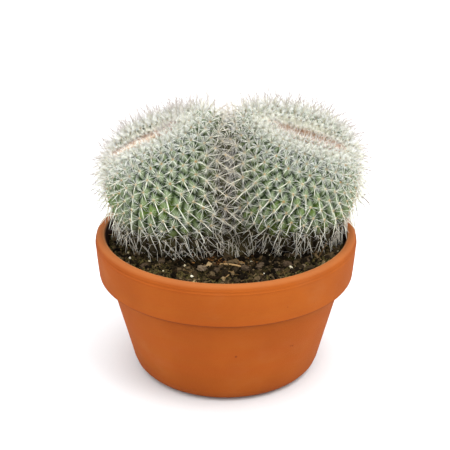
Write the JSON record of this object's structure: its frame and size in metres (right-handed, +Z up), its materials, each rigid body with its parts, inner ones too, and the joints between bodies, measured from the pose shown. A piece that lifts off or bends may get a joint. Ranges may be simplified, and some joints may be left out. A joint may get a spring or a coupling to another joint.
{
  "type": "potted mammillaria parkinsonii",
  "caption": "Rounded, forked cactus with crossing rows of tubercles under white starry spines, standing in dark potting mix in a rimmed terracotta pan with a drain hole.",
  "frame": {"origin": "middle of the pot's underside, on the pot's axis", "axes": "+Z up along the pot's axis; the heads lie side by side along X; the front, which the crowns lean towards, is -Y"},
  "size_m": [0.1899, 0.18, 0.1961],
  "materials": {
    "terracotta": "matte",
    "potting_mix": "matte",
    "cactus": "matte"
  },
  "bodies": {
    "root": {"pot": "terracotta", "soil": "potting_mix", "cactus": "cactus"}
  },
  "joints": []
}
